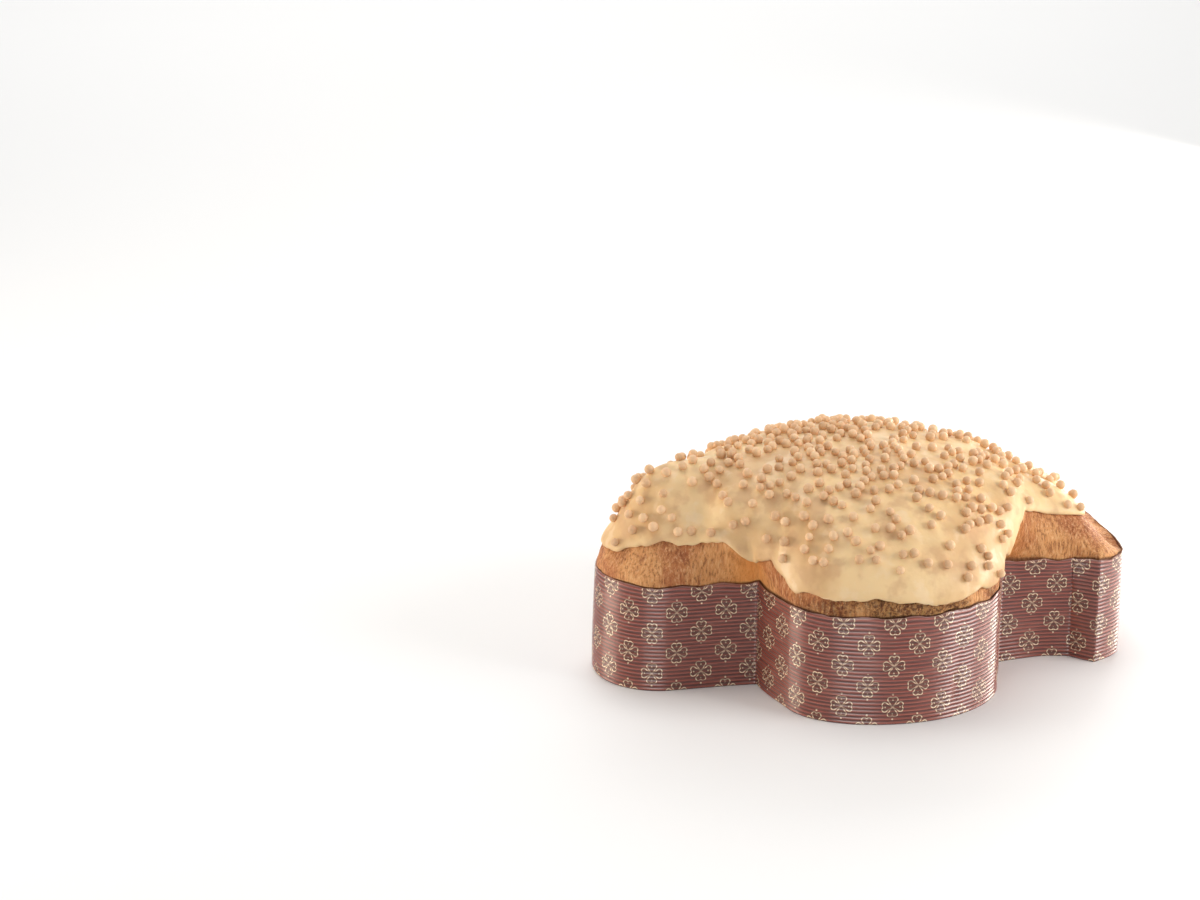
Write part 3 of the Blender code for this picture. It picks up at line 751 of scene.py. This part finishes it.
def baked_crust():
    crust = Finish("baked_crust")
    where = crust.node("TexCoord").outputs["Object"]
    stretched = crust.node("Mapping", {"Vector": where, "Scale": DRAWN_UP}).outputs[0]
    broad = crust.noise(where, BROAD_SCALE, 3)
    mottle = crust.noise(stretched, MOTTLE_SCALE, 5, 0.65)
    fine = crust.noise(stretched, FLECK_SCALE, 6, 0.70)
    base = crust.mix(crust.between(broad, 0.40, 0.60), GOLDEN, BROWN)
    base = crust.mix(crust.between(mottle, 0.52, 0.64, 0.0, 0.50), base, PALE_MOTTLE)
    base = crust.mix(crust.between(mottle, 0.47, 0.36, 0.0, 0.55), base, DARK_MOTTLE)
    base = crust.mix(crust.between(fine, 0.52, 0.62, 0.0, 0.50), base, PALE_FLECK)
    base = crust.mix(crust.between(fine, 0.48, 0.38, 0.0, 0.65), base, DARK_FLECK)
    pale, tear, bare_band_climb = (
        crust.node("Attribute", attribute_name=name).outputs["Fac"] for name in ("sheltered", "torn", "bare_band_climb")
    )
    base = crust.mix(crust.math("MULTIPLY", pale, 0.8), base, NOTCH_GOLD)
    crumb = crust.noise(where, CRUMB_SCALE, 5, 0.70)
    # dark crumbs and painted shade: darker where the crumb bump below is lowest, in the crags' hollows
    crumb_hollow_shade = crust.math("MULTIPLY", tear, crust.between(crumb, 0.52, 0.44, 0.0, 0.70))
    base = crust.mix(crumb_hollow_shade, base, DARK_CRUMB_HOLLOW_SHADE)
    light = crust.math("MULTIPLY", tear, crust.between(crumb, 0.55, 0.64, 0.0, 0.75))
    base = crust.mix(light, base, PALE_CRUMB)
    # painted shadow of the gap to the paper, partly burnt crust: darker in the lowest part of the bare band
    base = crust.mix(crust.between(bare_band_climb, 0.07, 0.0, 0.0, 0.80), base, PAPER_GAP_SHADOW)
    # painted shade under the icing's lip: darker at the top of the bare band
    base = crust.mix(crust.between(bare_band_climb, 0.92, 0.98, 0.0, 0.6), base, UNDER_ICING_SHADE)
    crust.put(crust.shader.inputs["Base Color"], base)
    crust.shader.inputs["Roughness"].default_value = 0.62
    crust.shader.inputs["Specular IOR Level"].default_value = 0.25
    wrinkled = crust.bump(mottle, 0.8, 0.0016)
    wrinkled = crust.bump(fine, 0.8, 0.0009, wrinkled)
    crumbs = crust.math("MULTIPLY", crumb, tear)
    crust.put(crust.shader.inputs["Normal"], crust.bump(crumbs, 1.0, 0.0040, wrinkled))
    return crust.material


loaf(baked_crust())

# %% [markdown]
# ## The pearls' places
# The pearls are thrown on by hand, so they lie thick along the back, thinner down the
# sides, and in little drifts and chains. Throwing darts does the same: a random spot on
# the icing is kept if a density there allows it and no earlier pearl is too near. The
# largest come first. The throw is seeded, so it falls the same way each time.

# %% How thick the pearls lie
ICING = 0.0026
BACK_HEIGHT, BACK_POWER = (0.076, 0.122), 1.1
HEAD_FROM, HEAD_HEIGHT, HEAD_SHARE = (0.050, 0.110), (0.080, 0.100), 0.92
DRIFT_PITCH, DRIFT_START, DRIFT_PATCHES = 45, Vector((3, 7, 1)), (-0.35, 0.30)
LEAST_CHANCE, LEAST_DRIFT = 0.16, 0.45


def pearl_chance(place):
    """How likely a pearl stays where it falls: thick on the back, thin down the sides, in drifts."""
    high = smooth_step(place[2], *BACK_HEIGHT)
    head = smooth_step(-place[0], *HEAD_FROM) * smooth_step(place[2], *HEAD_HEIGHT)
    drift = smooth_step(noise.noise(Vector(place) * DRIFT_PITCH + DRIFT_START), *DRIFT_PATCHES)
    thick = LEAST_CHANCE + (1 - LEAST_CHANCE) * max(high**BACK_POWER, HEAD_SHARE * head)
    return thick * (LEAST_DRIFT + (1 - LEAST_DRIFT) * drift)


# %% Throw the pearls
PEARLS, PEARL_SEED, PEARL_SIZES = 450, 12, (0.00245, 0.00298)
EDGE_CLEAR, LEVEL_STEP, THROWS, PEARL_ROOM, PEARL_SINK = 0.04, 2, 400, 1.02, (0.10, 0.42)


def icing_spots():
    """The grid's spots that have icing, and the running sum of the area that each stands for."""
    spots, areas = [], []
    for k in range(LEVEL_STEP, CLIMBS, LEVEL_STEP):
        area = np.linalg.norm(sideways[:, k], axis=1) * steps_up[:, k]
        for i in range(COUNT):
            if k / CLIMBS > icing_edge[i] + EDGE_CLEAR:
                spots.append((i, k))
                areas.append(area[i])
    return spots, np.cumsum(areas)


def throw_pearls():
    """Each pearl's place, outward direction, radius and depth in the icing."""
    dice = random.Random(PEARL_SEED)
    spots, totals = icing_spots()
    sizes = sorted((dice.uniform(*PEARL_SIZES) for _ in range(PEARLS)), reverse=True)
    taken = []
    for radius in sizes:
        for _ in range(THROWS):
            i, k = spots[int(np.searchsorted(totals, dice.random() * totals[-1]))]
            place = grid[i, k] + (grid[(i + 1) % COUNT, k] - grid[i, k]) * dice.random()
            place = place + facing[i, k] * ICING
            if dice.random() > pearl_chance(place):
                continue
            room = [(radius + size) * PEARL_ROOM for _, _, size, _ in taken]
            if all(np.linalg.norm(place - near[0]) > gap for near, gap in zip(taken, room)):
                taken.append((place, facing[i, k], radius, dice.uniform(*PEARL_SINK) * radius))
                break
    return taken


pearls = throw_pearls()
print("pearls", len(pearls))

# %% [markdown]
# ## The caramel icing
# Poured icing runs until it sets, so it is even on top and ends in a rolled, slightly
# thicker lip with soft drips. The skin grows from its hidden underside, round the lip
# and up over the dome. Round each pearl it rises a little, because the pearl was pushed
# into it while it was soft.

# %% The icing's skin
LIP = (  # distance up the slope from the edge, and height above the dough
    (0.0050, 0.0003), (0.0012, 0.0003), (0.0001, 0.0006), (-0.0005, 0.0012), (-0.0004, 0.0019),
    (0.0002, 0.0025), (0.0012, 0.0029), (0.0024, 0.0031), (0.0040, 0.0031), (0.0060, 0.0029),
    (0.0085, 0.0027), (0.0110, 0.0026),
)
ICING_RINGS, UNDERSIDE_SHARES = 56, (0.25, 0.5, 0.75, 1.0)
WAVE, WAVE_PITCH, RIPPLE, RIPPLE_PITCH = 0.00060, 58, 0.00020, 150
PEARL_RISE, PEARL_RISE_REACH = 0.00055, 0.0030
FLOW_FROM, FLOW_LESS = 0.002, 0.6
near_pearl = KDTree(len(pearls))
for n, (place, _, _, _) in enumerate(pearls):
    near_pearl.insert(place, n)
near_pearl.balance()


def flow(place):
    """Slow waves of the set icing, and a small rise round each pearl."""
    at = Vector(place)
    wave = WAVE * noise.noise(at * WAVE_PITCH) + RIPPLE * noise.noise(at * RIPPLE_PITCH)
    return wave + PEARL_RISE * bell(near_pearl.find(place)[2], 0, PEARL_RISE_REACH)


def close_underside(mesh, ring):
    """The hidden underside, in a few coarse rings up to the dove's back."""
    distance, lift = LIP[0]
    start = climb_after(icing_edge, distance)
    for share in UNDERSIDE_SHARES:
        ring = next_ring(mesh, ring, at_climb(start + (1 - start) * share, lift)[0])


# %% Model the icing
def icing_skin(finish):
    mesh = bmesh.new()
    ring = None
    for distance, lift in LIP:
        places, out = at_climb(climb_after(icing_edge, distance), lift)
        if lift > FLOW_FROM:
            share = min(1, lift / ICING - FLOW_LESS)
            places = [p + o * flow(p) * share for p, o in zip(places, out)]
        ring = next_ring(mesh, ring, places) if ring else first_ring(mesh, places)
        if distance == LIP[0][0]:
            under = ring
    start = climb_after(icing_edge, LIP[-1][0])
    for k in range(1, ICING_RINGS + 1):
        climbs = start + (1 - start) * k / ICING_RINGS
        places, out = at_climb(climbs, ICING)
        ring = next_ring(mesh, ring, [p + o * flow(p) for p, o in zip(places, out)])
    close_underside(mesh, under)
    return finish_piece("caramel_icing", mesh, finish, "icing")


# %% [markdown]
# The icing is pale caramel with a satin gloss. Chocolate lets a little light in, so the
# shader has a touch of scattering under the surface. A slow noise and a quicker one shift
# the colour, as where the coat is thinner and the crust warms it from below, and the
# quicker one also ripples the set coat.

# %% The icing's finish
PALE_CARAMEL, CARAMEL = colour(235, 201, 149), colour(216, 177, 126)
THIN_COAT, THICK_COAT = colour(199, 154, 112), colour(240, 214, 176)
SLOW_SCALE, RUN_SCALE, SKIN_SCALE = 26, 75, 420


def caramel():
    icing = Finish("caramel_icing")
    where = icing.node("TexCoord").outputs["Object"]
    slow = icing.noise(where, SLOW_SCALE, 3)
    base = icing.mix(icing.between(slow, 0.42, 0.62), PALE_CARAMEL, CARAMEL)
    run = icing.noise(where, RUN_SCALE, 4)
    base = icing.mix(icing.between(run, 0.50, 0.66, 0.0, 0.50), base, THIN_COAT)
    base = icing.mix(icing.between(run, 0.46, 0.34, 0.0, 0.40), base, THICK_COAT)
    icing.put(icing.shader.inputs["Base Color"], base)
    icing.put(icing.shader.inputs["Roughness"], icing.between(run, 0.3, 0.7, 0.46, 0.60))
    icing.shader.inputs["Subsurface Weight"].default_value = 0.18
    icing.shader.inputs["Subsurface Radius"].default_value = (1.0, 0.55, 0.28)
    icing.shader.inputs["Subsurface Scale"].default_value = 0.0025
    skin = icing.noise(where, SKIN_SCALE, 3)
    waves = icing.bump(run, 0.45, 0.0016)
    icing.put(icing.shader.inputs["Normal"], icing.bump(skin, 0.16, 0.0004, waves))
    return icing.material


icing_skin(caramel())

# %% [markdown]
# ## The chocolate pearls
# A crisp pearl is a small puffed grain in a thin coat of chocolate, almost round, with a
# satin skin. Each starts as an icosphere of eighty faces, is squeezed a little and
# turned, and all of them are one mesh. An attribute gives each pearl its own shade.

# %% Model the pearls
PEARL_WIDE, PEARL_HIGH = (0.95, 1.03), (0.93, 1.0)


def pearl_heap(finish):
    mesh = bmesh.new()
    dice = random.Random(PEARL_SEED + 1)
    tone = mesh.verts.layers.float.new("tone")
    for place, out, radius, sink in pearls:
        wide, deep, high = (dice.uniform(*span) for span in (PEARL_WIDE, PEARL_WIDE, PEARL_HIGH))
        squeeze = Matrix.Diagonal((wide, deep, high, 1))
        turn = Matrix.Rotation(dice.uniform(0, math.pi), 4, "Z")
        turn = turn @ Matrix.Rotation(dice.uniform(0, math.pi), 4, "X")
        put = Matrix.Translation(Vector(place) + Vector(out) * (radius - sink))
        made = bmesh.ops.create_icosphere(mesh, subdivisions=2, radius=radius, matrix=put @ turn @ squeeze)
        shade = dice.random()
        for vert in made["verts"]:
            vert[tone] = shade
    return finish_piece("chocolate_pearls", mesh, finish)


# %% The pearls' finish
LIGHT_PEARL, DARK_PEARL, PEARL_SPECK = colour(234, 195, 152), colour(209, 166, 124), colour(240, 204, 158)
SPECK_SCALE = 700


def pearl_coat():
    pearl = Finish("pearl_chocolate")
    where = pearl.node("TexCoord").outputs["Object"]
    tone = pearl.node("Attribute", attribute_name="tone").outputs["Fac"]
    speck = pearl.noise(where, SPECK_SCALE, 3)
    base = pearl.mix(tone, LIGHT_PEARL, DARK_PEARL)
    base = pearl.mix(pearl.between(speck, 0.4, 0.8, 0.0, 0.3), base, PEARL_SPECK)
    pearl.put(pearl.shader.inputs["Base Color"], base)
    pearl.shader.inputs["Roughness"].default_value = 0.54
    pearl.shader.inputs["Subsurface Weight"].default_value = 0.10
    pearl.shader.inputs["Subsurface Radius"].default_value = (1.0, 0.5, 0.25)
    pearl.shader.inputs["Subsurface Scale"].default_value = 0.0012
    pearl.put(pearl.shader.inputs["Normal"], pearl.bump(speck, 0.45, 0.0005))
    return pearl.material


strewn = pearl_heap(pearl_coat())

# %% [markdown]
# ## Floor, light and camera
# A loaf like this is usually photographed on a pale floor between large soft boxes. Two
# low, wide strips at both sides make the curves of the paper gleam rib by rib, while the
# boxes above keep the icing soft. The camera stands in front of the wing, a little
# towards the head, and looks down by 20 degrees. The lights don't show in the picture.

# %% Stage
FLOOR_HALF, FLOOR_TONE, WORLD_LIGHT = 6, (0.90, 0.895, 0.885, 1), 0.18


def stage_floor():
    mesh = bmesh.new()
    bmesh.ops.create_grid(mesh, x_segments=1, y_segments=1, size=FLOOR_HALF)
    data = bpy.data.meshes.new("pale_floor")
    mesh.to_mesh(data)
    mesh.free()
    pale = Finish("pale_floor")
    pale.shader.inputs["Base Color"].default_value = FLOOR_TONE
    pale.shader.inputs["Roughness"].default_value = 0.55
    data.materials.append(pale.material)
    floor = bpy.data.objects.new("pale_floor", data)
    bpy.context.scene.collection.objects.link(floor)


def soft_box(name, place, aim, wide, high, watts, tint=(1, 1, 1)):
    light = bpy.data.lights.new(name, "AREA")
    light.shape = "RECTANGLE"
    light.size, light.size_y, light.energy, light.color = wide, high, watts, tint
    lamp = bpy.data.objects.new(name, light)
    lamp.location = place
    lamp.visible_camera = False
    lamp.rotation_euler = (Vector(aim) - Vector(place)).to_track_quat("-Z", "Y").to_euler()
    bpy.context.scene.collection.objects.link(lamp)


stage_floor()
soft_box("left_strip", (-1.15, 0.20, 0.14), (-0.10, 0, 0.05), 0.60, 0.20, 7, (1.0, 0.88, 0.74))
soft_box("right_strip", (0.95, 0.35, 0.13), (0.10, 0, 0.05), 1.50, 0.20, 11, (1.0, 0.94, 0.88))
soft_box("right_box", (1.25, -0.75, 0.75), (0.05, 0, 0.05), 0.8, 0.8, 15)
soft_box("top_box", (-0.25, 0.25, 1.50), (0, 0, 0.05), 1.2, 1.0, 10)
soft_box("front_box", (-0.70, -1.70, 1.30), (0, 0, 0.05), 1.2, 0.8, 10)
soft_box("back_box", (0.20, 2.20, 1.40), (0.20, 1.60, 0), 3.0, 1.4, 34)
world = bpy.data.worlds.new("studio")
world.use_nodes = True
world.node_tree.nodes["Background"].inputs["Color"].default_value = (1, 1, 1, 1)
world.node_tree.nodes["Background"].inputs["Strength"].default_value = WORLD_LIGHT
bpy.context.scene.world = world
bpy.context.scene.view_settings.view_transform = "Standard"

# %% Camera
EYE, AIM = Vector((-0.4607, -1.5622, 0.7146)), Vector((-0.1322, 0.09697, 0.0990))
lens = bpy.data.cameras.new("camera")
lens.lens, lens.sensor_width = 90, 36
camera = bpy.data.objects.new("camera", lens)
camera.location = EYE + CENTRE
camera.rotation_euler = (AIM - EYE).to_track_quat("-Z", "Y").to_euler()
bpy.context.scene.collection.objects.link(camera)
bpy.context.scene.camera = camera
